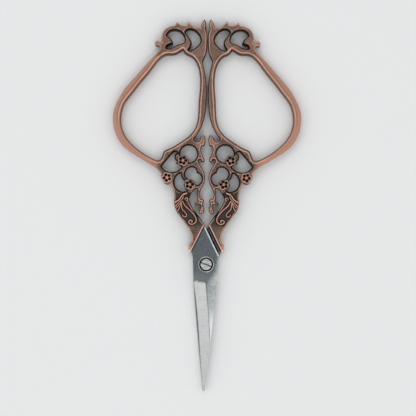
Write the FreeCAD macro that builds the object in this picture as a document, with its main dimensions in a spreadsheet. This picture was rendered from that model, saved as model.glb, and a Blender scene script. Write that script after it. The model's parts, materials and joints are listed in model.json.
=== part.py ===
import FreeCAD, Part

import math
import os

import Sketcher
from FreeCAD import Placement, Rotation, Vector

# Embroidery scissors lying closed on their face: +Z up, +Y from the blades to the finger loops.
# Lengths are millimetres. The plan outlines are drawn about the pivot, with X = 0 the line
# between the handles; each body is then set back so that the origin is under the box's middle.

SIZES = {
    "handle_reach": 83.85,
    "blade_reach": 43.4,
    "casting_thickness": 4.0,
    "blade_thickness": 1.5,
    "blade_gap": 0.04,
    # plan of one blade; the closed points lean to the left of the line between the handles
    "tip_lean": 0.6,
    "tip_flat": 0.2,
    "tip_half": 0.5,
    "tip_taper": 0.8,
    "heel_back": 6.9,
    "heel_lean": 0.25,
    "heel_half": 3.95,
    "heel_point_half": 4.15,
    "heel_point_back": 6.0,
    "notch_half": 3.9,
    "notch_back": 5.4,
    "ricasso_half": 4.6,
    "ricasso_top": 2.6,
    "shank_corner_x": 3.6,
    "shank_corner_y": 4.5,
    "shank_top_x": -0.35,
    "shank_top_y": 12.6,
    "end_face_top_x": -0.95,
    "end_face_top_y": 12.9,
    "end_face_foot_x": -5.05,
    "end_face_foot_y": 4.7,
    # ground faces of one blade
    "edge_thickness": 0.25,
    "bevel_width": 3.95,
    "plunge_back": 5.5,
    "plunge_angle": -10.0,
    "grind_width": 3.6,
    "grind_depth": 0.5,
    "grind_middle_y": -2.3,
    "grind_middle_width": 1.3,
    "grind_middle_depth": 0.25,
    "grind_start_y": 3.0,
    "grind_start_width": 0.4,
    "grind_start_depth": 0.1,
    "grind_end_share": 0.6,
    "grind_end_width": 0.2,
    "grind_end_depth": 0.05,
    # tang inside the casting
    "tang_root_x": -2.2,
    "tang_root_y": 9.0,
    "tang_tip_x": -7.2,
    "tang_tip_y": 20.0,
    "tang_half_width": 1.2,
    # pivot
    "pivot_radius": 1.25,
    "pivot_clearance": 0.05,
    "head_radius": 1.95,
    "head_stand": 0.12,
    "head_chamfer": 0.2,
    "head_play": 0.03,
    "recess_radius": 2.45,
    "recess_depth": 0.75,
    "slot_width": 0.6,
    "slot_depth": 0.4,
    "slot_turn": -20.0,
    # plum blossoms
    "petal_radius": 0.98,
    "petal_ring": 1.0,
    "eye_radius": 0.3,
}

# Each outline is a closed loop of runs. A run starts where the one before it ended: with one
# point it is a line, with two an arc through the first, with more a smooth curve.

HANDLE_OUTLINE = [
    # the spike's outer flank, the crest and its two thorns
    [(-1.9, 82.5), (-2.5, 80.8)],
    [(-3.9, 81.0), (-5.5, 81.9), (-6.6, 83.2)],
    [(-7.15, 81.75)],
    [(-8.9, 81.75), (-10.5, 82.8)],
    [(-11.2, 81.6)],
    [(-13.3, 81.1), (-15.0, 79.8), (-15.75, 78.0), (-15.75, 75.6)],
    # the round bud on its short neck
    [(-16.35, 75.75)],
    [(-18.05, 75.65), (-16.95, 74.6)],
    [(-16.35, 74.25), (-16.3, 73.45)],
    # outside of the finger loop
    [(-17.6, 72.0), (-21.2, 68.0), (-24.7, 64.0), (-28.1, 60.0), (-30.5, 56.0), (-31.9, 52.5),
     (-32.2, 49.5), (-31.75, 46.0), (-30.6, 43.0), (-28.3, 40.0), (-25.7, 38.0), (-22.4, 36.0),
     (-19.1, 34.0), (-17.1, 32.6), (-15.6, 30.8)],
    # below the flower at the side
    [(-15.6, 29.6), (-14.9, 28.4)],
    [(-13.5, 27.25), (-12.6, 27.8)],
    # outer edge of the solid body, down to the toe beside the blade
    [(-11.7, 26.2), (-11.15, 24.2), (-11.1, 21.3), (-10.5, 18.5), (-8.9, 16.0), (-6.9, 13.3),
     (-5.5, 11.0), (-4.95, 8.7)],
    [(-5.25, 7.4), (-6.0, 6.4), (-6.15, 5.3), (-5.9, 4.3), (-5.5, 3.8)],
    # the end face that the blade leaves by, and the corner between the handles
    [(-0.95, 12.9)],
    [(-0.65, 13.15), (-0.75, 13.6)],
    # inner edge of the body and the open slot
    [(-1.7, 15.1), (-2.9, 16.8), (-4.3, 18.6), (-5.4, 20.4), (-6.15, 21.9)],
    [(-5.8, 23.1), (-5.0, 24.6), (-3.9, 25.75)],
    [(-3.3, 25.95), (-2.95, 25.5)],
    # the branch with its twig and foot
    [(-3.25, 24.1), (-3.2, 22.9), (-2.85, 21.6)],
    [(-3.3, 21.15), (-4.0, 20.9)],
    [(-4.2, 20.5), (-3.85, 20.2)],
    [(-3.2, 20.35), (-2.55, 20.55), (-2.0, 20.1), (-2.2, 19.0), (-2.6, 18.0), (-2.45, 17.35)],
    [(-1.2, 17.6), (-0.75, 18.4), (-1.0, 19.5), (-1.25, 20.5), (-0.85, 21.5)],
    [(-1.1, 22.15), (-1.9, 22.3)],
    # the strand along the middle, with its notch and knob
    [(-2.35, 23.2), (-2.25, 24.9), (-1.6, 26.3), (-0.85, 28.0), (-0.6, 29.7), (-0.95, 31.6),
     (-1.8, 33.1), (-2.75, 34.9)],
    [(-2.6, 35.85), (-2.0, 35.7)],
    [(-1.2, 35.0), (-0.8, 35.8)],
    [(-1.4, 37.2), (-1.9, 38.5), (-2.0, 39.7), (-1.75, 40.5)],
    [(-0.95, 40.5)],
    [(-0.55, 42.2), (-0.8, 44.0)],
    [(-1.6, 44.0), (-2.3, 42.9)],
    [(-2.7, 42.1), (-4.1, 42.2)],
    [(-4.5, 42.7), (-4.0, 43.5)],
    # inner bar of the finger loop
    [(-3.1, 44.8), (-1.5, 48.2), (-0.75, 51.2), (-0.35, 55.0), (-0.22, 59.0), (-0.4, 62.2),
     (-0.9, 65.8), (-1.7, 69.3)],
    [(-0.95, 70.9), (-0.4, 72.6), (-0.17, 75.5), (-0.2, 78.5), (-0.75, 80.3)],
    [(-0.65, 82.6), (-1.0, 83.85)],
]

FINGER_HOLE = [
    [(-9.6, 72.4), (-11.3, 71.6), (-14.1, 71.4), (-16.1, 70.2), (-19.4, 66.1), (-22.7, 62.1),
     (-25.8, 58.1), (-28.2, 54.8), (-29.3, 51.0), (-29.2, 47.2), (-27.5, 43.2), (-23.4, 39.1),
     (-20.3, 37.0), (-16.9, 35.4)],
    [(-15.5, 36.6), (-15.0, 38.1), (-14.2, 39.05)],
    [(-11.5, 40.3), (-8.5, 42.2), (-5.6, 44.5), (-3.8, 47.4), (-3.1, 51.2), (-2.95, 55.2),
     (-2.55, 60.0), (-2.6, 64.5), (-3.6, 68.5), (-5.6, 70.9), (-7.4, 71.8), (-8.4, 73.2)],
]

KIDNEY_WINDOW = [
    [(-13.6, 75.0), (-12.1, 75.5), (-12.9, 77.0), (-14.05, 78.0)],
    [(-13.4, 79.4), (-11.4, 80.15), (-9.3, 79.6), (-7.75, 77.4)],
    [(-8.0, 75.6), (-9.8, 75.0), (-11.8, 73.9), (-13.7, 73.5), (-14.3, 73.9)],
]

CREST_WINDOW = [
    [(-7.4, 79.9), (-6.0, 80.45), (-4.1, 79.8), (-2.8, 78.4), (-2.15, 76.9)],
    [(-2.6, 75.3), (-3.8, 74.0), (-4.9, 73.15), (-6.6, 73.05)],
    [(-6.15, 74.2), (-5.7, 75.8), (-6.5, 77.3), (-7.75, 79.2)],
]

ROUND_WINDOW = [
    [(-9.42, 37.74), (-6.24, 40.92)],
    [(-3.06, 37.74), (-6.24, 34.56)],
]

LEAF_WINDOW = [
    [(-15.0, 34.4), (-13.3, 36.5), (-11.8, 38.3)],
    [(-10.8, 38.75), (-9.9, 38.0)],
    [(-10.8, 36.8), (-9.7, 35.1)],
    [(-10.5, 34.6)],
    [(-9.2, 34.1), (-8.25, 33.2)],
    [(-9.7, 32.0), (-11.6, 31.3), (-13.8, 31.6), (-15.65, 33.4)],
]

HEART_WINDOW = [
    [(-4.8, 33.4), (-6.4, 33.0), (-7.6, 31.2), (-7.1, 29.4)],
    [(-6.2, 28.6), (-4.4, 28.15)],
    [(-3.8, 26.9), (-2.2, 27.5), (-1.4, 29.1), (-2.0, 30.7), (-3.3, 31.4)],
]

CRESCENT_WINDOW = [
    [(-8.5, 30.3), (-7.15, 28.4)],
    [(-7.6, 27.0), (-6.35, 25.45)],
    [(-7.4, 24.65), (-8.8, 24.75), (-10.5, 25.8), (-11.3, 28.1), (-10.5, 30.3), (-8.85, 31.4)],
]

WINDOWS = [KIDNEY_WINDOW, CREST_WINDOW, ROUND_WINDOW, LEAF_WINDOW, HEART_WINDOW, CRESCENT_WINDOW]

# The windows are drawn at the casting's face. Their walls close in by this much to mid-thickness.
WINDOW_DRAFT = 0.28

# Plum blossoms: centre, and the direction of the first petal
FLOWERS = [((-8.13, 35.47), 0.0), ((-5.82, 27.3), 2.0), ((-13.56, 29.62), 43.0)]

PETALS = 5

# Cutters stand out of the metal by this much, in mm; the spine's cutter by a share of its width
OVERRUN = 1
GRIND_OVERRUN = 0.2


def curves(runs):
    """The lines, arcs and smooth curves of one closed outline."""
    found = []
    start = runs[-1][-1]
    for run in runs:
        points = [Vector(x, y, 0) for x, y in [start] + run]
        if len(points) == 2:
            found.append(Part.LineSegment(*points))
        elif len(points) == 3:
            found.append(Part.Arc(*points))
        else:
            curve = Part.BSplineCurve()
            curve.interpolate(points)
            found.append(curve)
        start = run[-1]
    return found


def closed_in(runs, distance):
    """The same outline with each point moved inward, square to the chord of its neighbours."""
    points = [point for run in runs for point in run]
    count = len(points)
    area = sum(points[i - 1][0] * points[i][1] - points[i][0] * points[i - 1][1] for i in range(count))
    inward = math.copysign(distance, area)
    moved = []
    for i, (x, y) in enumerate(points):
        before, after = points[i - 1], points[(i + 1) % count]
        chord = Vector(after[0] - before[0], after[1] - before[1], 0).normalize()
        moved.append((x - inward * chord.y, y + inward * chord.x))
    flow = iter(moved)
    return [[next(flow) for point in run] for run in runs]


def make_sheet(doc):
    """The spreadsheet of driving dimensions; an expression reads one as sizes.NAME."""
    sheet = doc.addObject("Spreadsheet::Sheet", "sizes")
    for row, (name, value) in enumerate(SIZES.items(), start=1):
        sheet.set(f"A{row}", name)
        sheet.set(f"B{row}", str(value))
        sheet.setAlias(f"B{row}", name)
    doc.recompute()


def new_body(doc, name, turned):
    """An empty body set back to the row's origin, turned over about Y for the rear pieces."""
    body = doc.addObject("PartDesign::Body", name)
    body.Label = name
    if turned:
        body.Placement = Placement(Vector(), Rotation(Vector(0, 1, 0), 180))
        body.setExpression("Placement.Base.z", "sizes.casting_thickness")
    body.setExpression("Placement.Base.y", "(sizes.blade_reach - sizes.handle_reach) / 2")
    return body


def new_sketch(body, name, plane="XY_Plane", offset=None):
    """An empty sketch on one of the body's origin planes, shifted along its normal."""
    sketch = body.newObject("Sketcher::SketchObject", name)
    support = next(item for item in body.Origin.OriginFeatures if item.Role == plane)
    sketch.AttachmentSupport = [(support, "")]
    sketch.MapMode = "FlatFace"
    if offset:
        sketch.setExpression("AttachmentOffset.Base.z", offset)
    return sketch


def polygon(sketch, corners):
    """A closed polygon whose corners are pairs of expressions for X and Y."""
    count = len(corners)
    guess = [Vector(math.cos(turn), math.sin(turn), 0) for turn in
             (2 * math.pi * i / count for i in range(count))]
    for i in range(count):
        sketch.addGeometry(Part.LineSegment(guess[i], guess[(i + 1) % count]))
    for i in range(count):
        sketch.addConstraint(Sketcher.Constraint("Coincident", i, 2, (i + 1) % count, 1))
    for i, corner in enumerate(corners):
        for kind, text in zip(("DistanceX", "DistanceY"), corner):
            at = sketch.addConstraint(Sketcher.Constraint(kind, -1, 1, i, 1, 1.0))
            sketch.setExpression(f"Constraints[{at}]", text)


def pad(body, name, sketch, length):
    """Material added above a sketch."""
    feature = body.newObject("PartDesign::Pad", name)
    feature.Profile = sketch
    feature.setExpression("Length", length)
    return feature


def pocket(body, name, sketch, length=None, along_normal=False):
    """Material cut below a sketch, or above it if along_normal, right through without a length."""
    feature = body.newObject("PartDesign::Pocket", name)
    feature.Profile = sketch
    feature.Reversed = along_normal
    if length:
        feature.setExpression("Length", length)
    else:
        feature.Type = "ThroughAll"
        feature.Midplane = True
    return feature


def circle(sketch, radius):
    """A circle about the sketch's origin, its radius an expression."""
    sketch.addGeometry(Part.Circle(Vector(), Vector(0, 0, 1), 1.0))
    sketch.addConstraint(Sketcher.Constraint("Coincident", 0, 3, -1, 1))
    at = sketch.addConstraint(Sketcher.Constraint("Radius", 0, 1.0))
    sketch.setExpression(f"Constraints[{at}]", radius)


# Heights in a body's own frame, before the rear pieces are turned over
BLADE_BOTTOM = "(sizes.casting_thickness + sizes.blade_gap) / 2"
BLADE_TOP = f"({BLADE_BOTTOM} + sizes.blade_thickness)"
RECESS_FLOOR = f"({BLADE_TOP} - sizes.recess_depth)"


def tang_rectangle(body, name):
    """A sketch of the straight tang, from inside the shank to its end in the casting."""
    sketch = new_sketch(body, name, offset=BLADE_BOTTOM)
    run_x = "(sizes.tang_tip_x - sizes.tang_root_x)"
    run_y = "(sizes.tang_tip_y - sizes.tang_root_y)"
    aside = f"sizes.tang_half_width / sqrt({run_x}^2 + {run_y}^2)"
    corners = []
    for end, hand in (("root", 1), ("root", -1), ("tip", -1), ("tip", 1)):
        corners.append((
            f"sizes.tang_{end}_x - {hand} * {run_y} * {aside}",
            f"sizes.tang_{end}_y + {hand} * {run_x} * {aside}",
        ))
    polygon(sketch, corners)
    return sketch


def blossom(centre, first_petal):
    """The five petals of a blossom as arcs that meet between them, and the middles of its eyes."""
    ring, petal = SIZES["petal_ring"], SIZES["petal_radius"]
    half = math.pi / PETALS
    meet = ring * math.cos(half) + math.sqrt(petal**2 - (ring * math.sin(half))**2)
    middle = Vector(*centre, 0)
    petals, eyes = [], []
    for k in range(PETALS):
        turn = math.radians(first_petal) + 2 * half * k
        before, along, after = (
            Vector(math.cos(angle), math.sin(angle), 0) for angle in (turn - half, turn, turn + half)
        )
        petals.append(Part.Arc(
            middle + before * meet, middle + along * (ring + petal), middle + after * meet
        ))
        eyes.append(middle + along * ring)
    return petals, eyes


def make_handle(doc, name, turned):
    """One die cast handle: the plate with its windows, the blossoms and the tang's socket."""
    body = new_body(doc, name, turned)
    plate = new_sketch(body, f"{name}_plate")
    plate.addGeometry(curves(HANDLE_OUTLINE) + curves(FINGER_HOLE))
    for window in WINDOWS:
        plate.addGeometry(curves(closed_in(window, WINDOW_DRAFT)))
    pad(body, f"{name}_casting", plate, "sizes.casting_thickness")

    petals = new_sketch(body, f"{name}_petals")
    eyes = new_sketch(body, f"{name}_eyes")
    for centre, first_petal in FLOWERS:
        arcs, middles = blossom(centre, first_petal)
        petals.addGeometry(arcs)
        for middle in middles:
            at = eyes.addGeometry(Part.Circle(middle, Vector(0, 0, 1), SIZES["eye_radius"]))
            radius = eyes.addConstraint(Sketcher.Constraint("Radius", at, SIZES["eye_radius"]))
            eyes.setExpression(f"Constraints[{radius}]", "sizes.eye_radius")
    pad(body, f"{name}_blossoms", petals, "sizes.casting_thickness")
    pocket(body, f"{name}_eye_holes", eyes)

    socket = tang_rectangle(body, f"{name}_socket")
    pocket(body, f"{name}_tang_socket", socket, "sizes.blade_thickness", along_normal=True)
    return body


def leaned(distance, part, lean):
    """X of a blade's corner at the tip or the heel: lean is 1 or -1, by the side it leans to."""
    return f"({lean} * sizes.{part}_lean + {distance})"


def blade_outline(lean):
    """Corners of a blade's plan, from the point up the spine, round the shank and down the edge."""
    return [
        (leaned("sizes.tip_flat", "tip", lean), "-sizes.blade_reach"),
        (leaned("sizes.tip_half", "tip", lean), "sizes.tip_taper - sizes.blade_reach"),
        (leaned("sizes.heel_half", "heel", lean), "-sizes.heel_back"),
        ("sizes.ricasso_half", "sizes.ricasso_top"),
        ("sizes.shank_corner_x", "sizes.shank_corner_y"),
        ("sizes.shank_top_x", "sizes.shank_top_y"),
        ("sizes.end_face_top_x", "sizes.end_face_top_y"),
        ("sizes.end_face_foot_x", "sizes.end_face_foot_y"),
        ("-sizes.ricasso_half", "sizes.ricasso_top"),
        (leaned("-sizes.notch_half", "heel", lean), "-sizes.notch_back"),
        (leaned("-sizes.heel_point_half", "heel", lean), "-sizes.heel_point_back"),
        (leaned("-sizes.heel_half", "heel", lean), "-sizes.heel_back"),
        (leaned("-sizes.tip_half", "tip", lean), "sizes.tip_taper - sizes.blade_reach"),
        (leaned("-sizes.tip_flat", "tip", lean), "-sizes.blade_reach"),
    ]


# From the heel to where the tip's taper starts
STRAIGHT_RUN = "(sizes.blade_reach - sizes.tip_taper - sizes.heel_back)"


def grind_bevel(body, name, lean):
    """The cutting bevel: one flat plane that runs along the cutting edge from the heel."""
    heel = leaned("-sizes.heel_half", "heel", lean)
    tip = leaned("-sizes.tip_half", "tip", lean)
    wedge = new_sketch(body, f"{name}_bevel_section", "XZ_Plane")
    wedge.AttachmentOffset = Placement(Vector(), Rotation(Vector(0, 1, 0), -1))
    wedge.setExpression("AttachmentOffset.Base.x", heel)
    wedge.setExpression("AttachmentOffset.Base.y", BLADE_BOTTOM)
    wedge.setExpression("AttachmentOffset.Base.z", "sizes.plunge_back")
    wedge.setExpression("AttachmentOffset.Rotation.Angle", "sizes.plunge_angle")
    rise = "((sizes.blade_thickness - sizes.edge_thickness) / sizes.bevel_width)"
    polygon(wedge, [
        (f"-{OVERRUN}", f"sizes.edge_thickness - {OVERRUN} * {rise}"),
        ("sizes.bevel_width", "sizes.blade_thickness"),
        ("sizes.bevel_width", f"sizes.blade_thickness + {OVERRUN}"),
        (f"-{OVERRUN}", f"sizes.blade_thickness + {OVERRUN}"),
    ])
    bevel = pocket(body, f"{name}_bevel", wedge, "sizes.blade_reach", along_normal=True)
    slant = f"atan(({tip} - {heel}) / {STRAIGHT_RUN})"
    bevel.UseCustomVector = True
    bevel.setExpression("Direction.x", f"-sin({slant})")
    bevel.setExpression("Direction.y", f"cos({slant})")
    bevel.setExpression("Direction.z", "0")


def spine_stations(lean):
    """Stations of the spine's grind: Y, X of the spine there, width and depth of the grind."""
    heel = leaned("sizes.heel_half", "heel", lean)
    tip = leaned("sizes.tip_half", "tip", lean)
    end_y = f"-(sizes.heel_back + sizes.grind_end_share * {STRAIGHT_RUN})"
    end_x = f"({heel} + sizes.grind_end_share * ({tip} - {heel}))"
    return [
        ("sizes.grind_start_y", "sizes.ricasso_half", "start_width", "start_depth"),
        ("sizes.grind_middle_y", "sizes.ricasso_half", "middle_width", "middle_depth"),
        ("-sizes.heel_back", heel, "width", "depth"),
        (end_y, end_x, "end_width", "end_depth"),
    ]


def grind_spine(body, name, lean):
    """The shallow grind beside the spine, which starts thin at the ricasso and widens."""
    sections = []
    for k, (station, spine, width, depth) in enumerate(spine_stations(lean)):
        section = new_sketch(body, f"{name}_spine_section_{k}", "XZ_Plane", f"-({station})")
        inner = f"{spine} - sizes.grind_{width}"
        outer = f"{spine} + sizes.grind_{width} * {GRIND_OVERRUN}"
        polygon(section, [
            (inner, BLADE_TOP),
            (outer, f"{BLADE_TOP} - sizes.grind_{depth} * (1 + {GRIND_OVERRUN})"),
            (outer, f"{BLADE_TOP} + {OVERRUN}"),
            (inner, f"{BLADE_TOP} + {OVERRUN}"),
        ])
        sections.append(section)
    grind = body.newObject("PartDesign::SubtractiveLoft", f"{name}_spine_grind")
    grind.Profile = sections[0]
    grind.Sections = sections[1:]
    grind.Ruled = True


def make_blade(doc, name, turned, pivot_hole, lean):
    """One blade, flat below, with its ground bevel towards -X and its spine towards +X."""
    body = new_body(doc, name, turned)
    plan = new_sketch(body, f"{name}_plan", offset=BLADE_BOTTOM)
    polygon(plan, blade_outline(lean))
    pad(body, f"{name}_blank", plan, "sizes.blade_thickness")
    tang = tang_rectangle(body, f"{name}_tang_plan")
    pad(body, f"{name}_tang", tang, "sizes.blade_thickness")
    grind_bevel(body, name, lean)
    grind_spine(body, name, lean)
    hole = new_sketch(body, f"{name}_pivot_circle", offset=BLADE_TOP)
    circle(hole, pivot_hole)
    pocket(body, f"{name}_pivot_hole", hole)
    return body


def make_screw(doc):
    """The pivot screw, its slotted head in the front blade's recess."""
    body = new_body(doc, "pivot_screw", False)
    profile = new_sketch(body, "screw_profile", "XZ_Plane")
    foot = "(sizes.casting_thickness - sizes.blade_gap) / 2 - sizes.blade_thickness"
    seat = f"{RECESS_FLOOR} + sizes.head_play"
    crown = f"({BLADE_TOP} + sizes.head_stand)"
    polygon(profile, [
        ("0", foot),
        ("sizes.pivot_radius", foot),
        ("sizes.pivot_radius", seat),
        ("sizes.head_radius", seat),
        ("sizes.head_radius", f"{crown} - sizes.head_chamfer"),
        ("sizes.head_radius - sizes.head_chamfer", crown),
        ("0", crown),
    ])
    turned = body.newObject("PartDesign::Revolution", "screw_turned")
    turned.Profile = profile
    turned.ReferenceAxis = (profile, ["V_Axis"])
    turned.Angle = 360

    slot = new_sketch(body, "screw_slot_plan", offset=crown)
    slot.setExpression("AttachmentOffset.Rotation.Angle", "sizes.slot_turn")
    polygon(slot, [
        (f"-sizes.head_radius - {OVERRUN}", "-sizes.slot_width / 2"),
        (f"sizes.head_radius + {OVERRUN}", "-sizes.slot_width / 2"),
        (f"sizes.head_radius + {OVERRUN}", "sizes.slot_width / 2"),
        (f"-sizes.head_radius - {OVERRUN}", "sizes.slot_width / 2"),
    ])
    pocket(body, "screw_slot", slot, "sizes.slot_depth")
    return body


def main():
    doc = FreeCAD.newDocument("embroidery_scissors")
    make_sheet(doc)
    running_hole = "sizes.pivot_radius + sizes.pivot_clearance"
    front_blade = make_blade(doc, "front_blade", False, running_hole, -1)
    recess = new_sketch(front_blade, "front_blade_recess_circle", offset=BLADE_TOP)
    circle(recess, "sizes.recess_radius")
    pocket(front_blade, "front_blade_recess", recess, "sizes.recess_depth")
    pieces = [
        front_blade,
        make_blade(doc, "rear_blade", True, "sizes.pivot_radius", 1),
        make_handle(doc, "left_handle", False),
        make_handle(doc, "right_handle", True),
        make_screw(doc),
    ]
    doc.recompute()
    for item in doc.Objects:
        if "Invalid" in item.State or "Error" in item.State:
            raise SystemExit(f"{item.Name} did not compute: {item.getStatusString()}")
    for piece in pieces:
        if piece.Shape.isNull() or not piece.Shape.isValid():
            raise SystemExit(f"{piece.Label} has no valid shape")
    os.makedirs("parts", exist_ok=True)
    for piece in pieces:
        piece.Shape.exportStep(f"parts/{piece.Label}.step")
        print(piece.Label, round(piece.Shape.Volume, 1), "mm3")


main()
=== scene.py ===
"""Looks of the embroidery scissors: cast handles in worn antique copper, ground steel blades."""
import json
import math

import bpy
import numpy as np
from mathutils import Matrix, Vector, geometry


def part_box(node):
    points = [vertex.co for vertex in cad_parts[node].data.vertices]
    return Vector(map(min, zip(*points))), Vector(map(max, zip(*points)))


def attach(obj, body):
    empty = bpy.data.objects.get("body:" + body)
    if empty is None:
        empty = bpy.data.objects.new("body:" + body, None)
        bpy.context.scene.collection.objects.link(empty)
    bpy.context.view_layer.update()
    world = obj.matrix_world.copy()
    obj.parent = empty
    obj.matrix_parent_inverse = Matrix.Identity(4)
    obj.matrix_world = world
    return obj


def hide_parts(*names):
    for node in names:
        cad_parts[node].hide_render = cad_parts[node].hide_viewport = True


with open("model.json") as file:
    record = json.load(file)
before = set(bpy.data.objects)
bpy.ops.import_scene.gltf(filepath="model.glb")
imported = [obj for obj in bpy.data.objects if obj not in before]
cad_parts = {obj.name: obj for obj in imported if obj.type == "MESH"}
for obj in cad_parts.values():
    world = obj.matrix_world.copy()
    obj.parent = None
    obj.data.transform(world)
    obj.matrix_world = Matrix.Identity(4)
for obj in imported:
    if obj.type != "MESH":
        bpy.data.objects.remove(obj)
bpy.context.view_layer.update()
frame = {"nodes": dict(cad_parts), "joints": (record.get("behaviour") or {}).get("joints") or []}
MM = 0.001
PIVOT = Vector(frame["joints"][0]["pos_m"])
PIVOT_PLAN = np.array(PIVOT[:2])


# ---------------------------------------------------------------- outlines of the flat pieces

# How far the corners of a flat face may be off its height, in mm
LEVEL_TOLERANCE = 0.001
# Points of a plan that are nearer each other than this, in mm, become one
WELD_DISTANCE = 1e-5
# Triangles of a plan with no more than this as twice their area, in mm2, are slivers
SLIVER_LIMIT = 1e-6
# Share of a row's step that its points keep from every outline
ROW_SHARE = 0.92
# How far the filling stays from the last row, in mm
FILLING_GAP = 0.1
# Height of a honeycomb's rows, as a share of its spacing
HONEYCOMB_ROW = 0.866
# Faces that turn more than this at their common edge have a sharp edge there
SHARP_DEGREES = 42
# Points that are measured at a time, which limits the memory used
CHUNK = 1000


def area(loop):
    """Signed area of a closed loop, positive when it runs anticlockwise."""
    x, y = loop.T
    return (x * np.roll(y, -1) - np.roll(x, -1) * y).sum() / 2


def outlines(node, level):
    """Outlines of a node's flat face at a height, largest first, in mm about the pivot.

    Each loop has the solid on its left, seen from the side that the face looks to.
    """
    mesh = frame["nodes"][node].data
    corners = np.array([v.co for v in mesh.vertices]) / MM
    spots = {}
    weld = [spots.setdefault((round(x, 3), round(y, 3)), len(spots)) for x, y, _ in corners]
    sides = set()
    for face in mesh.polygons:
        ring = list(face.vertices)
        if np.abs(corners[ring, 2] - level / MM).max() < LEVEL_TOLERANCE:
            ring = [weld[i] for i in ring]
            sides |= set(zip(ring, ring[1:] + ring[:1]))
    follow = {a: b for a, b in sides if (b, a) not in sides and a != b}
    points = np.array(list(spots)) - PIVOT_PLAN / MM
    loops = []
    while follow:
        loop = [min(follow)]
        while follow[loop[-1]] != loop[0]:
            loop.append(follow.pop(loop[-1]))
        del follow[loop[-1]]
        loops.append(points[loop])
    return sorted(loops, key=lambda loop: -abs(area(loop)))


def turn_cosines(loop):
    """Cosine of the turn at each point of a closed loop."""
    before = loop - np.roll(loop, 1, axis=0)
    after = np.roll(loop, -1, axis=0) - loop
    dot = (before * after).sum(1)
    return dot / np.linalg.norm(before, axis=1) / np.linalg.norm(after, axis=1)


def evened(loop, spacing, corner_degrees=32):
    """The loop with its smooth stretches rounded off and divided into steps of about spacing."""
    keep = [loop[0]]
    sharp = turn_cosines(loop) < math.cos(math.radians(corner_degrees))
    flags = [sharp[0]]
    for point, corner in zip(loop[1:], sharp[1:]):
        if corner or np.linalg.norm(point - keep[-1]) > spacing / 3:
            keep.append(point)
            flags.append(corner)
    keep = np.array(keep)
    count = len(keep)
    out = []
    for i in range(count):
        p0, p1, p2, p3 = (keep[(i + k) % count] for k in (-1, 0, 1, 2))
        if flags[i]:
            p0 = 2 * p1 - p2
        if flags[(i + 1) % count]:
            p3 = 2 * p2 - p1
        length = np.linalg.norm(p2 - p1)
        reach0 = length / max(np.linalg.norm(p1 - p0), 1e-6)
        reach3 = length / max(np.linalg.norm(p3 - p2), 1e-6)
        m1 = ((p1 - p0) * reach0 + (p2 - p1)) / 2
        m2 = ((p2 - p1) + (p3 - p2) * reach3) / 2
        steps = max(1, round(length / spacing))
        for t in np.arange(steps) / steps:
            out.append(
                (2 * t**3 - 3 * t**2 + 1) * p1 + (t**3 - 2 * t**2 + t) * m1
                + (3 * t**2 - 2 * t**3) * p2 + (t**3 - t**2) * m2
            )
    return np.array(out)


def loop_sides(loops):
    """Starts and ends of all sides of closed loops."""
    return np.vstack(loops), np.vstack([np.roll(loop, -1, axis=0) for loop in loops])


def distance(points, starts, ends):
    """Distance of each point from the nearest of the segments."""
    sx, sy = starts.T
    dx, dy = (ends - starts).T
    size = dx * dx + dy * dy
    out = np.empty(len(points))
    for k in range(0, len(points), CHUNK):
        px = points[k:k + CHUNK, 0, None] - sx
        py = points[k:k + CHUNK, 1, None] - sy
        t = np.clip((px * dx + py * dy) / size, 0, 1)
        px -= t * dx
        py -= t * dy
        out[k:k + CHUNK] = np.sqrt((px * px + py * py).min(1))
    return out


def inside(points, starts, ends):
    """Whether each point is inside the closed outlines."""
    sx, sy = starts.T
    ex, ey = ends.T
    out = np.empty(len(points), bool)
    # Level sides never cross, so their rise only has to be other than 0
    rise = np.where(ey == sy, 1e-9, ey - sy)
    for k in range(0, len(points), CHUNK):
        px = points[k:k + CHUNK, 0, None]
        py = points[k:k + CHUNK, 1, None]
        crosses = ((sy > py) != (ey > py)) & (px < sx + (py - sy) * (ex - sx) / rise)
        out[k:k + CHUNK] = crosses.sum(1) % 2 == 1
    return out


def honeycomb(low, high, spacing):
    """Points of a staggered grid over a box."""
    rows = np.arange(low[1], high[1], spacing * HONEYCOMB_ROW)
    columns = np.arange(low[0], high[0], spacing)
    x, y = np.meshgrid(columns, rows)
    x[1::2] += spacing / 2
    return np.stack([x.ravel(), y.ravel()], 1)


def triangulated(loops, offsets, grid, extra=()):
    """Plan of a flat piece: its points, triangles and outline rings.

    Rows of points follow the outlines at the offsets, and grid fills the rest.
    """
    starts, ends = loop_sides(loops)
    normals = []
    for loop in loops:
        along = np.roll(loop, -1, axis=0) - np.roll(loop, 1, axis=0)
        along /= np.linalg.norm(along, axis=1)[:, None]
        normals.append(np.stack([-along[:, 1], along[:, 0]], 1))
    normals = np.vstack(normals)
    filling = []
    for step in offsets:
        row = starts + normals * step
        near = distance(row, starts, ends)
        filling.append(row[(near > ROW_SHARE * step) & inside(row, starts, ends)])
    grid = grid[inside(grid, starts, ends)]
    filling.append(grid[distance(grid, starts, ends) > offsets[-1] + FILLING_GAP])
    points = np.vstack([starts] + filling + list(extra))

    rings, first = [], 0
    for loop in loops:
        rings.append(np.arange(first, first + len(loop)))
        first += len(loop)
    fixed = [(int(a), int(b)) for ring in rings for a, b in zip(ring, np.roll(ring, -1))]
    made = geometry.delaunay_2d_cdt([Vector(p) for p in points], fixed, [], 0, WELD_DISTANCE)
    plan = np.array([v[:] for v in made[0]])
    triangles = np.array(made[2])
    place = {}
    for index, sources in enumerate(made[3]):
        for source in sources:
            place[source] = index
    rings = [[place[i] for i in ring] for ring in rings]
    a, b, c = plan[triangles].transpose(1, 2, 0)
    twice_area = (b[0] - a[0]) * (c[1] - a[1]) - (b[1] - a[1]) * (c[0] - a[0])
    use = inside(plan[triangles].mean(1), starts, ends) & (twice_area > SLIVER_LIMIT)
    return plan, triangles[use].tolist(), rings


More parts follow.
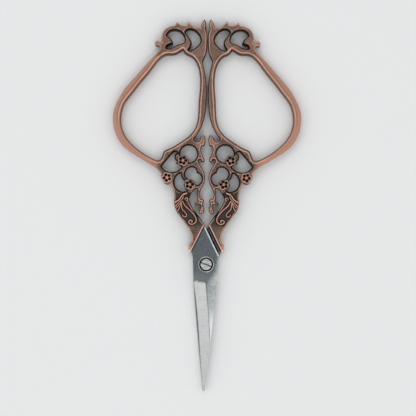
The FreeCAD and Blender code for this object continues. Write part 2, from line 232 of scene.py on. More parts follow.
def shell(name, body, node, plan, triangles, rings, heights, side, marks, material):
    """A closed piece over a plan between two heights; side -1 mirrors it in X."""
    count = len(plan)
    across = plan * (side, 1) * MM + PIVOT_PLAN
    points = [np.column_stack([across, level * MM + PIVOT.z]) for level in heights]
    upper = side if heights[0].mean() > heights[1].mean() else -side
    faces = [tuple(f[::upper]) for f in triangles]
    faces += [tuple(i + count for i in f[::-upper]) for f in triangles]
    for ring in rings:
        for a, b in zip(ring, ring[1:] + ring[:1]):
            faces.append((a, a + count, b + count, b)[::upper])
    mesh = bpy.data.meshes.new(name)
    mesh.from_pydata(np.vstack(points).tolist(), [], faces)
    mesh.validate()
    for label, pair in marks.items():
        attribute = mesh.attributes.new(label, "FLOAT", "POINT")
        attribute.data.foreach_set("value", np.concatenate(pair).astype(np.float32))
    mesh.shade_smooth()
    mesh.set_sharp_from_angle(angle=math.radians(SHARP_DEGREES))
    piece = bpy.data.objects.new(name, mesh)
    bpy.context.scene.collection.objects.link(piece)
    mesh.materials.append(material)
    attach(piece, body)
    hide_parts(node)
    return piece


# ---------------------------------------------------------------- relief of the castings

# Centre lines of the raised scrolls on the body of the left handle: half width, then points
SCROLLS = [
    (0.24, [(-8.1, 21.4), (-7.4, 20.1), (-6.1, 18.9), (-4.8, 17.6), (-3.9, 16.4), (-3.5, 15.2),
            (-3.8, 14.3), (-4.8, 13.7), (-5.8, 14.0), (-6.1, 14.6), (-5.5, 15.1), (-4.9, 14.9),
            (-5.0, 14.4)]),
    (0.22, [(-8.6, 20.6), (-8.3, 18.9), (-7.3, 17.8), (-6.75, 16.9), (-7.1, 16.25),
            (-7.8, 16.35), (-8.2, 16.9)]),
    (0.3, [(-6.8, 24.3), (-8.3, 23.6), (-9.0, 22.5), (-9.7, 21.8), (-10.7, 21.2)]),
    (0.22, [(-7.9, 23.1), (-8.4, 22.2), (-9.4, 21.2), (-10.5, 19.9)]),
    (0.2, [(-8.2, 21.6), (-9.1, 20.8), (-10.1, 19.4)]),
    (0.22, [(-8.6, 21.0), (-9.1, 19.8), (-9.5, 18.7), (-9.9, 18.2)]),
    (0.2, [(-7.4, 22.2), (-7.2, 22.65), (-6.8, 22.75), (-6.5, 22.4), (-6.6, 21.95),
           (-7.0, 21.8)]),
    (0.16, [(-4.6, 42.2), (-5.2, 41.7), (-6.2, 41.2)]),
]
# Plum blossoms on the left handle: centre, first petal's direction
BLOSSOMS = [((-8.13, 35.47), 0.0), ((-5.82, 27.3), 2.0), ((-13.56, 29.62), 43.0)]
PETALS = 5
PETAL_RING = 1.0
PETAL_RADIUS = 0.98
BOSS_RADIUS = 0.3
# Petals to the right of this X have darkened hollows
DARK_PETALS = -12.0
# Holes of less area than this, in mm2, are the eyes in the petals, and larger ones are windows
EYE_AREA = 1.0
# Rounded edges of the face at the outside, the finger hole and the windows: width, and height
# above the middle at the outline; then what the plain bar of the loop adds to the outside's
OUTER_EDGE, FINGER_EDGE, WINDOW_EDGE = (0.5, 1.3), (0.8, 0.5), (0.5, 0.3)
BAR_EDGE = (0.7, -0.15)
ROUNDNESS = 2.2
# How far the face is below the casting's full thickness, which leaves the bead its room
FACE_DROP = 0.03
# Where the loop's plain bar starts and ends in Y, and where it starts in X at the loop's side
BAR_START, BAR_END, BAR_SIDE = (42, 47), (70, 72.5), (-15.8, -18)
# The bead along the finger hole and the groove beside it: distance from the hole, and height
BEAD_AT, BEAD_HEIGHT = 0.8, 0.07
GROOVE_AT, GROOVE_DEPTH = 1.28, 0.09
# Depths of the face inside its rim, of the panel, beside the scrolls and in the petals
FACE_DEPTH, PANEL_DEPTH, MOAT_DEPTH, PETAL_DEPTH = 0.1, 0.22, 0.06, 0.08
# Sunk panel that the scrolls stand on
PANEL_LOW, PANEL_HIGH = (-11.5, 12.0), (-2.0, 25.0)
PANEL_START, PANEL_END = (12.0, 14.0), (24.0, 25.5)
# Where fingers have rubbed the loop most
RUBBED_SPOT = np.array([-27.0, 42.0])
RUBBED_REACH = 18.0
# Small raised ends that are rubbed too: place, reach and share
RUBBED_TIPS = [
    ((-2.6, 19.2), 3.4, 0.3),
    ((-1.7, 41.0), 2.4, 0.3),
    ((-5.6, 4.6), 2.2, 0.9),
    ((-1.6, 34.0), 1.6, 0.3),
    ((-16.5, 75.6), 1.8, 0.5),
]
# The panel's edge beside the leaf shaped gap, with painted shade for the shadow in the narrow gap
LEAF_EDGE = np.array([[-0.95, 13.9], [-3.05, 17.8], [-4.3, 20.8], [-5.5, 23.4]])
# Share of the recesses' black that the walls below them keep
WALL_BLACK = 0.5
# Painted highlights: the edge along the blade, and the tip of the toe
END_EDGE = np.array([[-0.95, 12.9], [-5.5, 3.8]])
TOE_SPOT = np.array([-5.6, 4.6])


def smooth(low, high, value):
    """A soft step, 0 where value is low and 1 where it is high."""
    t = np.clip((value - low) / (high - low), 0, 1)
    return t * t * (3 - 2 * t)


def bump_at(value, middle, half_width):
    """A rounded ridge of height 1 where value is middle."""
    return np.exp(-((value - middle) / half_width) ** 2)


def rounded(edge, width, low, high):
    """Height of a rounded edge, from low on the outline to high at width from it."""
    t = np.clip(edge / width, 0, 1)
    return low + (high - low) * (1 - (1 - t) ** ROUNDNESS) ** (1 / ROUNDNESS)


def spline_points(points, steps=8):
    """A smooth line through hand-set points."""
    p = np.array(points, float)
    p = np.vstack([2 * p[0] - p[1], p, 2 * p[-1] - p[-2]])
    t = (np.arange(steps) / steps)[:, None]
    parts = []
    for a, b, c, d in zip(p, p[1:], p[2:], p[3:]):
        parts.append(b + t * (c - a) / 2 + t**2 * (2 * a - 5 * b + 4 * c - d) / 2
                     + t**3 * (3 * b - 3 * c + d - a) / 2)
    return np.vstack(parts + [p[-2:-1]])


def scroll_relief(points):
    """Height share of the raised scrolls at each point, 0 to 1, and the moat beside them."""
    ridge = np.zeros(len(points))
    moat = np.zeros(len(points))
    for half_width, route in SCROLLS:
        line = spline_points(route)
        away = distance(points, line[:-1], line[1:]) / half_width
        ridge = np.maximum(ridge, np.clip(1 - away**2, 0, 1) ** 0.7)
        moat = np.maximum(moat, bump_at(away, 1.75, 0.85))
    return ridge, moat * (1 - ridge)


def blossom_relief(points):
    """How far each point is inside the nearest blossom's petals, and from its middle."""
    depth = np.full(len(points), -9.0)
    heart = np.full(len(points), 9.0)
    for centre, first in BLOSSOMS:
        for k in range(PETALS):
            turn = math.radians(first + 360 / PETALS * k)
            middle = np.array(centre) + PETAL_RING * np.array([math.cos(turn), math.sin(turn)])
            depth = np.maximum(depth, PETAL_RADIUS - np.linalg.norm(points - middle, axis=1))
        heart = np.minimum(heart, np.linalg.norm(points - np.array(centre), axis=1))
    return depth, heart


def casting_face(points, loops, half):
    """Height of the casting's face above its middle, and its marks.

    The marks are the places that are worn, black (dark patina with painted shade), sunk, rubbed,
    and lit by a painted highlight, each 0 to 1.
    """
    x, y = points.T
    outer = distance(points, *loop_sides(loops[:1]))
    finger = distance(points, *loop_sides(loops[1:2]))
    windows = [loop for loop in loops[2:] if abs(area(loop)) > EYE_AREA]
    small = [loop for loop in loops[2:] if abs(area(loop)) < EYE_AREA]
    holes = distance(points, *loop_sides(windows))
    eyes = distance(points, *loop_sides(small))
    edge = np.minimum(np.minimum(outer, finger), holes)
    before_end = 1 - smooth(*BAR_END, y)
    bar = np.maximum(smooth(*BAR_START, y) * before_end, smooth(*BAR_SIDE, x) * before_end)
    rubbed = np.exp(-(np.linalg.norm(points - RUBBED_SPOT, axis=1) / RUBBED_REACH) ** 2)
    bulge = smooth(0.72, 0.93, rubbed)

    height = np.minimum.reduce([
        rounded(outer, OUTER_EDGE[0] + BAR_EDGE[0] * bar, OUTER_EDGE[1] + BAR_EDGE[1] * bar, half),
        rounded(finger, *FINGER_EDGE, half - FACE_DROP),
        rounded(holes, *WINDOW_EDGE, half),
    ])
    inner_bead = bump_at(finger, BEAD_AT, 0.17) * (1 - 0.7 * bulge)
    groove = bump_at(finger, GROOVE_AT, 0.16) * bar * (1 - 0.7 * bulge) * smooth(0.6, 0.9, outer)
    height += BEAD_HEIGHT * inner_bead - GROOVE_DEPTH * groove

    panel = smooth(*PANEL_START, y) * (1 - smooth(*PANEL_END, y))
    ground = smooth(0.5, 0.8, outer) * smooth(0.6, 0.9, holes) * panel
    ridge, moat = scroll_relief(points)
    depth, heart = blossom_relief(points)
    petal = smooth(-0.05, 0.3, depth)
    petal_rim = np.clip(1 - ((depth - 0.23) / 0.16) ** 2, 0, 1)
    boss = np.clip(1 - (heart / BOSS_RADIUS) ** 2, 0, 1)
    recess = FACE_DEPTH * smooth(0.6, 0.9, edge) * (1 - bar)
    height -= recess * (1 - np.maximum.reduce([petal, ridge]))
    height -= PANEL_DEPTH * ground * (1 - ridge) + MOAT_DEPTH * moat * (1 - bar)
    height -= PETAL_DEPTH * petal * (1 - np.maximum(petal_rim, boss))

    end_edge = distance(points, END_EDGE[:1], END_EDGE[1:])
    # Painted highlight along the casting's end beside the blade and on the toe
    painted_highlight = 0.75 * bump_at(end_edge, 0.24, 0.16)
    toe = np.linalg.norm(points - TOE_SPOT, axis=1)
    painted_highlight = np.maximum(painted_highlight, 1 - smooth(0.2, 0.6, toe))
    # The sides that look into the slot between the handles, and the edge by the leaf shaped gap,
    # which get painted shade along their outlines
    slot_side = smooth(-7.2, -6.2, x) * smooth(13.5, 14.5, y) * (1 - smooth(43.5, 44.5, y))
    slot_side = np.maximum(slot_side, smooth(-4.2, -3.6, x) * smooth(44.5, 45.5, y))
    past_leaf = np.interp(y, *LEAF_EDGE.T[::-1]) - x
    leaf = (past_leaf > -0.15) * (1 - smooth(1.0, 1.4, past_leaf))
    leaf *= smooth(15.0, 16.5, y) * (1 - smooth(24.0, 25.0, y))
    rim = bump_at(outer, 0.27 + 0.16 * slot_side, 0.12) * (1 - 0.2 * (y > 13)) * (1 - 0.5 * bar)
    rim *= 1 - 0.8 * leaf
    window_rim = 0.6 * bump_at(holes, 0.72, 0.1) * (1 - petal)
    wear = np.maximum.reduce([
        rim, window_rim, inner_bead * (1 - 0.5 * bulge), ridge**1.6 * (0.45 + 0.55 * panel),
        0.85 * petal_rim, 0.4 * boss,
    ])
    wall = np.where(depth > 0, 1 - smooth(0.08, 0.2, holes), 1 - smooth(0.4, 0.62, holes))
    hollow = petal * (1 - np.maximum(petal_rim, boss)) * (x > DARK_PETALS)
    # Black, partly dark patina in the hollows and partly painted shade, in the windows and eyes,
    # beside the raised relief and along the outlines
    black = np.maximum.reduce([
        wall,
        0.7 * (1 - smooth(0.2, 0.6, finger)),
        0.95 * moat * (1 - 0.6 * bar),
        0.45 * groove,
        0.7 * bump_at(depth, -0.16, 0.12),
        1 - smooth(0.1, 0.22, eyes),
        0.3 * hollow,
        0.8 * (1 - smooth(0.0, 0.12, outer)),
        slot_side * (1 - smooth(0.14, 0.34, outer)),
        leaf * (1 - smooth(0.42, 0.68, outer)),
    ])
    black *= WALL_BLACK + (1 - WALL_BLACK) * smooth(0.0, 0.1, edge)
    sunk = ground * (1 - ridge)
    share = 0.1 + 0.62 * smooth(-9, -16, x)
    rubbed = np.maximum((share + (1 - share) * rubbed) * bar, 0.15 * smooth(69, 72, y))
    for spot, reach, share in RUBBED_TIPS:
        away = np.linalg.norm(points - np.array(spot), axis=1)
        rubbed = np.maximum(rubbed, share * (1 - smooth(0.6, 1.0, away / reach)))
    marks = {"wear": wear, "black": black, "sunk": sunk, "rubbed": rubbed, "painted_highlight": painted_highlight}
    return height, {label: np.clip(value, 0, 1) for label, value in marks.items()}


# Spacing of the outlines, of the filling, and of the filling of the panel and the blossoms
OUTLINE_SPACING, COARSE_SPACING, FINE_SPACING = 0.25, 0.27, 0.13
# Rows of points along the casting's outlines
CASTING_ROWS = (0.05, 0.12, 0.21, 0.32, 0.45, 0.6)
# Half the side of the square around each blossom that is filled finely
BLOOM_REACH = 2.1


def build_castings(material):
    """Both handles' visible castings; the right one is the left one turned over about Y."""
    low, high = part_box("left_handle")
    half = (high.z - low.z) / 2 / MM
    middle = (high.z + low.z) / 2 / MM - PIVOT.z / MM
    loops = [evened(loop, OUTLINE_SPACING) for loop in outlines("left_handle", high.z)]
    starts, _ = loop_sides(loops)
    coarse = honeycomb(starts.min(0), starts.max(0), COARSE_SPACING)
    fine = honeycomb(PANEL_LOW, PANEL_HIGH, FINE_SPACING)
    in_panel = (coarse > PANEL_LOW).all(1) & (coarse < PANEL_HIGH).all(1)
    middles = [np.array(centre) for centre, _ in BLOSSOMS]
    blooms = [honeycomb(m - BLOOM_REACH, m + BLOOM_REACH, FINE_SPACING) for m in middles]
    near_bloom = np.min([np.abs(coarse - m).max(1) for m in middles], axis=0) < BLOOM_REACH
    grid = np.vstack([coarse[~in_panel & ~near_bloom], fine] + blooms)
    plan, triangles, rings = triangulated(loops, CASTING_ROWS, grid)
    height, marks = casting_face(plan, loops, half)
    walls = np.clip(height, None, half)
    levels = (middle + walls, middle - walls)
    pairs = {label: (value, value) for label, value in marks.items()}
    for name, side, body in (("left", 1, "front_half"), ("right", -1, "rear_half")):
        shell(f"{name}_casting", body, f"{name}_handle", plan, triangles,
              rings, levels, side, pairs, material)


# ---------------------------------------------------------------- the blades' ground faces

# All in mm about the pivot, for the front blade seen from above
EDGE_THICKNESS = 0.25
BEVEL_SLOPE = 0.316
# The edge's back end, and the spot of painted shade at the heel
HEEL_BACK = -5.95
HEEL_POINT = np.array([-4.35, -5.8])
# The plunge, where the bevel ends: a point and the direction of its foot, how far the foot runs,
# the rows of points up its slope, and how far over the blade's face the slope aims
PLUNGE_POINT = np.array([-4.1, -5.7])
PLUNGE_DEGREES = 10.0
PLUNGE_ALONG = np.array([math.cos(math.radians(PLUNGE_DEGREES)),
                         -math.sin(math.radians(PLUNGE_DEGREES))])
PLUNGE_UP = np.array([-PLUNGE_ALONG[1], PLUNGE_ALONG[0]])
BEVEL_WIDTH = 3.95
PLUNGE_ROWS = (-0.02, 0.06, 0.12, 0.18, 0.24, 0.3, 0.38)
PLUNGE_OVER = 0.3
# Where the points of those rows start and how far apart they are, and the gap around the rows
PLUNGE_START, PLUNGE_STEP, PLUNGE_GAP = 0.3, 0.16, 0.1
# Round recess of the screw, with a softened rim outside it
RECESS_RADIUS = 2.45
RECESS_DEPTH = 0.75
RIM_WIDTH = 0.12
RIM_SLOPE = 0.7
# Circles of points at the recess: the foot of its wall, and the rim's two sides and a last one
RECESS_ROWS = (-0.012, 0.0, RIM_WIDTH, 0.17)
RECESS_GAP = 0.25
CIRCLE_POINTS = 96
# Points this far inside the recess's radius are on its floor
FLOOR_LIMIT = 0.01
# Plan of the shank: its free edge, and the end of the casting that it comes out of
SHANK_EDGE = ((-0.35, 12.6), (3.6, 4.5))
HANDLE_END = ((-0.95, 12.9), (-5.05, 4.7))
# Y where the tang starts, and X that parts the shank's two sides
TANG_START = 12.7
SHANK_MIDDLE = -0.5
# Spine grind: Y, width and drop at the spine
SPINE_GRIND = [
    (-43.0, 0.2, 0.03), (-28.3, 0.4, 0.09), (-24.0, 0.93, 0.21), (-20.0, 1.6, 0.32),
    (-16.0, 2.35, 0.36), (-12.0, 3.2, 0.41), (-9.0, 3.6, 0.35), (-7.0, 3.75, 0.3),
    (-5.5, 3.3, 0.24), (-4.0, 2.5, 0.18), (-2.0, 1.7, 0.14), (0.0, 1.5, 0.13),
    (2.6, 1.2, 0.1), (3.4, 0.42, 0.15), (13.0, 0.34, 0.13),
]
# How the drop falls off across the grind: Y and power
GRIND_POWER = [(-12.0, 1.0), (-7.0, 1.12), (-4.0, 1.7), (2.0, 1.8), (3.4, 1.25)]
# Below this Y each station is spread over this much of the blade both ways, in so many samples
EASED_BELOW, GRIND_EASE, EASE_SAMPLES = 1.5, 1.1, 7
# Y where the satin face turns finer, and where it turns duller, and how dull it gets
FINE_RANGE, MATT_RANGE, MATT_SHARE = (-13.0, -21.0), (-0.5, -4.0), 0.3
# Spacing of a blade's outline and filling, the turn that is a corner, and the rows of points
BLADE_SPACING = 0.3
BLADE_CORNER_DEGREES = 12
BLADE_ROWS = (0.06, 0.14, 0.24, 0.36)


def facing(loop, sign):
    """Starts and ends of an outline's sides that face sign * X, below the tang."""
    starts, ends = loop_sides([loop])
    along = ends - starts
    outward = along[:, 1] / np.linalg.norm(along, axis=1)
    middles = (starts + ends) / 2
    use = (outward * sign > 0.3) & (middles[:, 1] < TANG_START)
    use &= (middles[:, 0] > SHANK_MIDDLE) if sign > 0 else (middles[:, 1] < HEEL_BACK)
    return starts[use], ends[use]


def painted_shade_stripes(points):
    """Painted shade on the flat face, along the handle's end and where the other shank's edge
    rests.
    """
    handle = distance(points, *np.array(HANDLE_END)[:, None])
    other = distance(points, *np.array(SHANK_EDGE)[:, None] * (-1, 1))
    return np.maximum(1 - smooth(0.3, 0.5, handle), 1 - smooth(0.45, 0.7, other))


def blade_face(points, outline, thickness, recessed):
    """Height of a blade's ground face above its flat one, and its marks.

    The marks are the places that are black with painted shade, bevelled, finely ground and matt,
    each 0 to 1.
    """
    x, y = points.T
    edge = distance(points, *facing(outline, -1))
    bevel = EDGE_THICKNESS + BEVEL_SLOPE * edge
    past = (points - PLUNGE_POINT) @ PLUNGE_UP
    bevel = bevel + (thickness + PLUNGE_OVER - bevel) * smooth(0.0, PLUNGE_ROWS[-1], past)
    spine = distance(points, *facing(outline, 1))
    stations, widths, drops = np.array(SPINE_GRIND).T
    near = y + np.linspace(-GRIND_EASE, GRIND_EASE, EASE_SAMPLES)[:, None] * (y < EASED_BELOW)
    width = np.interp(near, stations, widths).mean(0)
    drop = np.interp(near, stations, drops).mean(0)
    power = np.interp(y, *np.array(GRIND_POWER).T)
    grind = thickness - drop * np.clip(1 - spine / width, 0, 1) ** power
    height = np.minimum.reduce([bevel, grind, np.full(len(points), thickness)])
    # Painted shade: a dark line along the cutting edge, and a spot at the heel
    black = 0.45 * (1 - smooth(0.1, 0.22, edge))
    heel = np.linalg.norm(points - HEEL_POINT, axis=1)
    black = np.maximum(black, 0.6 * (1 - smooth(0.2, 0.5, heel)))
    radius = np.linalg.norm(points, axis=1)
    if recessed:
        # Painted shade along the end of the casting, beside the shank
        handle = distance(points, *np.array(HANDLE_END)[:, None])
        black = np.maximum(black, 0.9 * (1 - smooth(0.15, 0.4, handle)))
        rim = thickness - RIM_SLOPE * np.clip(RECESS_RADIUS + RIM_WIDTH - radius, 0, RIM_WIDTH)
        height = np.minimum(height, rim)
        sunk = radius < RECESS_RADIUS - FLOOR_LIMIT
        height[sunk] = thickness - RECESS_DEPTH
        # Painted shade on the recess's floor, in the gap around the screw's head
        black[sunk] = 1.0
    on_bevel = smooth(0.0, 0.08, thickness - bevel)
    fine = smooth(*FINE_RANGE, y) * (1 - on_bevel)
    matt = np.maximum(on_bevel, MATT_SHARE * smooth(*MATT_RANGE, y) * (1 - fine))
    return height, {"black": black, "bevel": on_bevel, "fine": fine, "matt": matt}


def build_blades(material):
    """Both blades; the rear one is the front one turned over about Y."""
    for name, side, body in (("front_blade", 1, "front_half"), ("rear_blade", -1, "rear_half")):
        low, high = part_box(name)
        flat = low.z if side > 0 else high.z
        thickness = (high.z - low.z) / MM
        loops = [loop[::-1] if side > 0 else loop * (-1, 1) for loop in outlines(name, flat)]
        loops = [evened(loop, BLADE_SPACING, BLADE_CORNER_DEGREES) for loop in loops]
        loops = [loop if (area(loop) > 0) == (k == 0) else loop[::-1]
                 for k, loop in enumerate(loops)]
        starts, _ = loop_sides(loops)
        grid = honeycomb(starts.min(0), starts.max(0), BLADE_SPACING)
        turns = np.linspace(0, 2 * math.pi, CIRCLE_POINTS, endpoint=False)
        circle = np.stack([np.cos(turns), np.sin(turns)], 1)
        circles = [circle * (RECESS_RADIUS + step) for step in RECESS_ROWS]
        from_rim = np.linalg.norm(grid, axis=1) - RECESS_RADIUS - RIM_WIDTH / 2
        grid = grid[np.abs(from_rim) > RECESS_GAP]
        steps = np.arange(PLUNGE_START, BEVEL_WIDTH, PLUNGE_STEP)[:, None]
        rows = [PLUNGE_POINT + steps * PLUNGE_ALONG + rise * PLUNGE_UP for rise in PLUNGE_ROWS]
        past = (grid - PLUNGE_POINT) @ PLUNGE_UP
        beside = (grid - PLUNGE_POINT) @ PLUNGE_ALONG < BEVEL_WIDTH
        below = past < PLUNGE_ROWS[0] - PLUNGE_GAP
        above = past > PLUNGE_ROWS[-1] + PLUNGE_GAP
        grid = grid[~beside | below | above]
        plan, triangles, rings = triangulated(loops, BLADE_ROWS, grid, circles + rows)
        height, marks = blade_face(plan, loops[0], thickness, side > 0)
        base = (flat - PIVOT.z) / MM
        levels = (base + side * height, np.full(len(plan), base))
        pairs = {label: (value, np.zeros(len(plan))) for label, value in marks.items()}
        # The flat face gets stripes of painted shade in the gap between the shanks
        pairs["black"] = (marks["black"], painted_shade_stripes(plan))
        shell(f"{name}_ground", body, name, plan, triangles, rings, levels,
              side, pairs, material)


# ---------------------------------------------------------------- materials

# Colours of the copper, from the oxidised to the rubbed, a painted highlight, and the black of the
# recesses, which is dark patina with painted shade
PATINA_DARK, PATINA_LIGHT = (0.1, 0.06, 0.047), (0.215, 0.122, 0.09)
DARK_SPECKS, PALE_SPECKS = (0.055, 0.041, 0.036), (0.42, 0.26, 0.2)
SUNK_COPPER = (0.042, 0.035, 0.034)
RUBBED_COPPER = (0.5, 0.257, 0.182)
BRIGHT_COPPER = (0.8, 0.42, 0.3)
PAINTED_HIGHLIGHT_COPPER = (1.0, 0.66, 0.52)
PATINA_AND_SHADE_BLACK = (0.01, 0.007, 0.006)
# Colours of the blades: satin face, ground bevel, fine face near the tip, and painted shade at the
# edge, the recess and the gaps
SATIN_DARK, SATIN_LIGHT = (0.54, 0.555, 0.555), (0.7, 0.715, 0.715)
GROUND_DARK, GROUND_LIGHT = (0.495, 0.495, 0.495), (0.59, 0.59, 0.59)
FINE_STEEL = (0.86, 0.885, 0.9)
BLADE_SHADE_BLACK = (0.01, 0.008, 0.008)
# Colours of the screw: brushed steel, and painted shade where its side sits in the recess
BRUSHED_DARK, BRUSHED_LIGHT = (0.45, 0.45, 0.45), (0.8, 0.8, 0.79)
SCREW_SHADE_BLACK = (0.02, 0.018, 0.017)


class Nodes:
    """A material's node tree with short calls for the nodes used here."""

    def __init__(self, name):
        self.material = bpy.data.materials.new(name)
        self.material.use_nodes = True
        self.tree = self.material.node_tree
        self.shader = self.tree.nodes["Principled BSDF"]
        self.place = self.add("ShaderNodeTexCoord").outputs["Object"]

    def add(self, kind, **settings):
        node = self.tree.nodes.new(kind)
        for key, value in settings.items():
            setattr(node, key, value)
        return node

    def feed(self, socket, value):
        if isinstance(value, bpy.types.NodeSocket):
            self.tree.links.new(value, socket)
        else:
            socket.default_value = value

    def attribute(self, name):
        return self.add("ShaderNodeAttribute", attribute_name=name).outputs["Fac"]

    def noise(self, scale, detail, rough, stretch=(1, 1, 1), turn=0.0):
        mapping = self.add("ShaderNodeMapping")
        mapping.inputs["Scale"].default_value = stretch
        mapping.inputs["Rotation"].default_value = (0, 0, turn)
        self.feed(mapping.inputs["Vector"], self.place)
        node = self.add("ShaderNodeTexNoise")
        self.feed(node.inputs["Vector"], mapping.outputs["Vector"])
        node.inputs["Scale"].default_value = scale
        node.inputs["Detail"].default_value = detail
        node.inputs["Roughness"].default_value = rough
        return node.outputs["Fac"]

    def math(self, operation, a, b=0.0, c=0.0):
        node = self.add("ShaderNodeMath", operation=operation)
        for socket, item in zip(node.inputs, (a, b, c)):
            self.feed(socket, item)
        return node.outputs[0]

    def span(self, value, low, high, out_low=0.0, out_high=1.0):
        node = self.add("ShaderNodeMapRange", interpolation_type="SMOOTHSTEP")
        for socket, item in zip(node.inputs, (value, low, high, out_low, out_high)):
            self.feed(socket, item)
        return node.outputs[0]

    def mix(self, share, a, b):
        node = self.add("ShaderNodeMix", data_type="RGBA")
        self.feed(node.inputs["Factor"], share)
        self.feed(node.inputs["A"], a if isinstance(a, bpy.types.NodeSocket) else (*a, 1))
        self.feed(node.inputs["B"], b if isinstance(b, bpy.types.NodeSocket) else (*b, 1))
        return node.outputs["Result"]

    def bump(self, height, strength, depth):
        node = self.add("ShaderNodeBump")
        node.inputs["Strength"].default_value = strength
        node.inputs["Distance"].default_value = depth
        self.feed(node.inputs["Height"], height)
        self.feed(self.shader.inputs["Normal"], node.outputs["Normal"])


def antique_copper():
    """Copper plating, oxidised brown, rubbed bright on the edges and the raised relief, with
    painted highlights on the end beside the blade and on the toe, and black of dark patina with
    painted shade in the recesses and along the outlines.
    """
    n = Nodes("antique_copper")
    patches = n.noise(420, 4, 0.6)
    grain = n.noise(2600, 3, 0.65)
    wear = n.attribute("wear")
    patina = n.mix(n.span(patches, 0.3, 0.7), PATINA_DARK, PATINA_LIGHT)
    patina = n.mix(n.span(grain, 0.42, 0.68, 0.0, 0.55), patina, DARK_SPECKS)
    patina = n.mix(n.span(grain, 0.48, 0.3, 0.0, 0.3), patina, PALE_SPECKS)
    patina = n.mix(n.attribute("sunk"), patina, SUNK_COPPER)
    patina = n.mix(n.attribute("rubbed"), patina, RUBBED_COPPER)
    uneven = n.span(patches, 0.25, 0.75, 0.75, 1.2)
    bright = n.span(n.math("MULTIPLY", wear, uneven), 0.05, 0.9)
    colour = n.mix(bright, patina, BRIGHT_COPPER)
    # Painted highlight at the casting's end beside the blade and on the toe
    colour = n.mix(n.attribute("painted_highlight"), colour, PAINTED_HIGHLIGHT_COPPER)
    # Black: dark patina in the recesses together with painted shade in the windows, eyes, gaps and
    # along the outlines
    colour = n.mix(n.attribute("black"), colour, PATINA_AND_SHADE_BLACK)
    n.feed(n.shader.inputs["Base Color"], colour)
    metal = n.math("MULTIPLY_ADD", bright, 0.3, 0.45)
    n.feed(n.shader.inputs["Metallic"], n.math("MAXIMUM", metal, n.attribute("black")))
    n.feed(n.shader.inputs["Roughness"], n.span(grain, 0.2, 0.8, 0.38, 0.52))
    n.bump(grain, 0.12, 0.00003)
    return n.material


def blade_steel():
    """Steel, satin at the pivot and finely ground across the bevels."""
    n = Nodes("blade_steel")
    strokes = n.noise(1500, 4, 0.75, stretch=(0.05, 1.0, 1.0), turn=0.09)
    cloud = n.noise(900, 5, 0.7)
    satin = n.mix(n.span(cloud, 0.3, 0.7), SATIN_DARK, SATIN_LIGHT)
    ground = n.mix(n.span(strokes, 0.3, 0.7), GROUND_DARK, GROUND_LIGHT)
    satin = n.mix(n.attribute("fine"), satin, FINE_STEEL)
    tone = n.mix(n.attribute("bevel"), satin, ground)
    # Painted shade where the black mark is
    tone = n.mix(n.attribute("black"), tone, BLADE_SHADE_BLACK)
    n.feed(n.shader.inputs["Base Color"], tone)
    n.shader.inputs["Metallic"].default_value = 1.0
    n.feed(n.shader.inputs["Roughness"], n.span(n.attribute("matt"), 0, 1, 0.21, 0.34))
    n.bump(strokes, 0.05, 0.00001)
    return n.material


def screw_steel(crown):
    """Bright brushed steel of the screw, with painted shade below its crown, in the gap around it
    in the recess.
    """
    n = Nodes("screw_steel")
    lines = n.noise(2400, 3, 0.7, stretch=(0.1, 1.0, 1.0), turn=0.4)
    split = n.add("ShaderNodeSeparateXYZ")
    n.feed(split.inputs[0], n.place)
    # Painted shade on the screw's side below its crown
    below = n.span(split.outputs["Z"], crown - 0.2 * MM, crown - 0.08 * MM, 1.0, 0.0)
    x, y = split.outputs["X"], n.math("SUBTRACT", split.outputs["Y"], PIVOT.y)
    radius = n.math("SQRT", n.math("ADD", n.math("MULTIPLY", x, x), n.math("MULTIPLY", y, y)))
    below = n.math("MULTIPLY", below, n.span(radius, 1.7 * MM, 1.93 * MM, 0.6, 1.0))
    tone = n.mix(n.span(lines, 0.35, 0.65), BRUSHED_DARK, BRUSHED_LIGHT)
    n.feed(n.shader.inputs["Base Color"], n.mix(below, tone, SCREW_SHADE_BLACK))
    n.shader.inputs["Metallic"].default_value = 0.8
    n.feed(n.shader.inputs["Roughness"], n.span(lines, 0.2, 0.8, 0.3, 0.45))
    n.bump(lines, 0.25, 0.00003)
    return n.material


# ---------------------------------------------------------------- stage, light and camera

def add_floor():
    """A plain pale floor for the scissors to lie on."""
    mesh = bpy.data.meshes.new("floor")
    reach = 3.0
    corners = [(-reach, -reach, 0), (reach, -reach, 0), (reach, reach, 0), (-reach, reach, 0)]
    mesh.from_pydata(corners, [], [(0, 1, 2, 3)])
    floor = bpy.data.objects.new("floor", mesh)
    bpy.context.scene.collection.objects.link(floor)
    n = Nodes("floor")
    n.shader.inputs["Base Color"].default_value = (0.84, 0.84, 0.84, 1)
    n.shader.inputs["Roughness"].default_value = 0.9
    mesh.materials.append(n.material)


# Brightness of the surround by the height of the direction, from the horizon to straight up
SURROUND = [
    (0.0, (0.72, 0.72, 0.72)),
    (0.78, (0.72, 0.72, 0.72)),
    (0.88, (0.62, 0.65, 0.67)),
    (0.95, (0.24, 0.27, 0.285)),
    (0.985, (0.07, 0.089, 0.103)),
]
# Soft boxes around the view's axis: X and Y of the direction, size and power
SOFT_BOXES = [
    (-0.55, 0.05, 0.54, 0.65),
    (0.5, 0.0, 0.55, 0.36),
    (0.1, -0.52, 0.4, 0.95),
    (-0.1, 0.52, 0.4, 0.75),
]
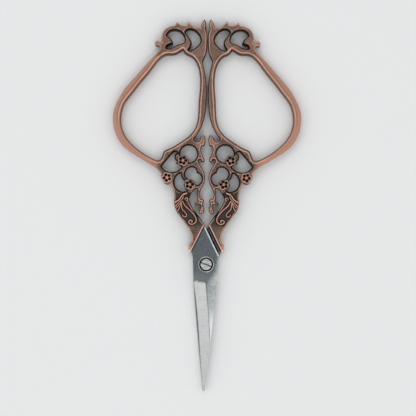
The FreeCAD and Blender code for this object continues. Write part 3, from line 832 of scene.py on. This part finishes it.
# Z of their directions, and their distance
SOFT_BOX_RISE = 0.85
SOFT_BOX_DISTANCE = 0.8


def add_lights():
    """A pale surround that is darker overhead, and large soft lamps from the sides."""
    world = bpy.data.worlds.new("studio")
    bpy.context.scene.world = world
    world.use_nodes = True
    tree = world.node_tree
    place = tree.nodes.new("ShaderNodeTexCoord")
    split = tree.nodes.new("ShaderNodeSeparateXYZ")
    ramp = tree.nodes.new("ShaderNodeValToRGB")
    tree.links.new(place.outputs["Generated"], split.inputs[0])
    tree.links.new(split.outputs["Z"], ramp.inputs[0])
    tree.links.new(ramp.outputs[0], tree.nodes["Background"].inputs["Color"])
    stops = ramp.color_ramp.elements
    while len(stops) < len(SURROUND):
        stops.new(1.0)
    for stop, (height, colour) in zip(stops, SURROUND):
        stop.position = height
        stop.color = (*colour, 1)
    for k, (x, y, size, power) in enumerate(SOFT_BOXES):
        position = Vector((x, y, SOFT_BOX_RISE)).normalized() * SOFT_BOX_DISTANCE
        lamp = bpy.data.lights.new(f"soft_box_{k}", "AREA")
        lamp.size = size
        lamp.energy = power
        holder = bpy.data.objects.new(f"soft_box_{k}", lamp)
        holder.location = position
        holder.rotation_euler = (-position).to_track_quat("-Z", "Y").to_euler()
        bpy.context.scene.collection.objects.link(holder)


def add_camera():
    """Straight above, with the handles up in the picture."""
    camera = bpy.data.cameras.new("camera")
    camera.sensor_width = 36
    camera_height = 0.35
    face_height = 0.003
    view_width = 0.1423
    aside, past_pivot = 0.0005, 0.0193
    roll_degrees = 0.375
    camera.lens = camera.sensor_width * (camera_height - face_height) / view_width
    holder = bpy.data.objects.new("camera", camera)
    holder.location = (aside, PIVOT.y + past_pivot, camera_height)
    holder.rotation_euler = (0, 0, math.radians(roll_degrees))
    bpy.context.scene.collection.objects.link(holder)
    bpy.context.scene.camera = holder


bpy.context.scene.view_settings.view_transform = "Standard"
build_castings(antique_copper())
build_blades(blade_steel())
screw = frame["nodes"]["pivot_screw"]
screw.data.materials.clear()
screw.data.materials.append(screw_steel(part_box("pivot_screw")[1].z))
add_floor()
add_lights()
add_camera()
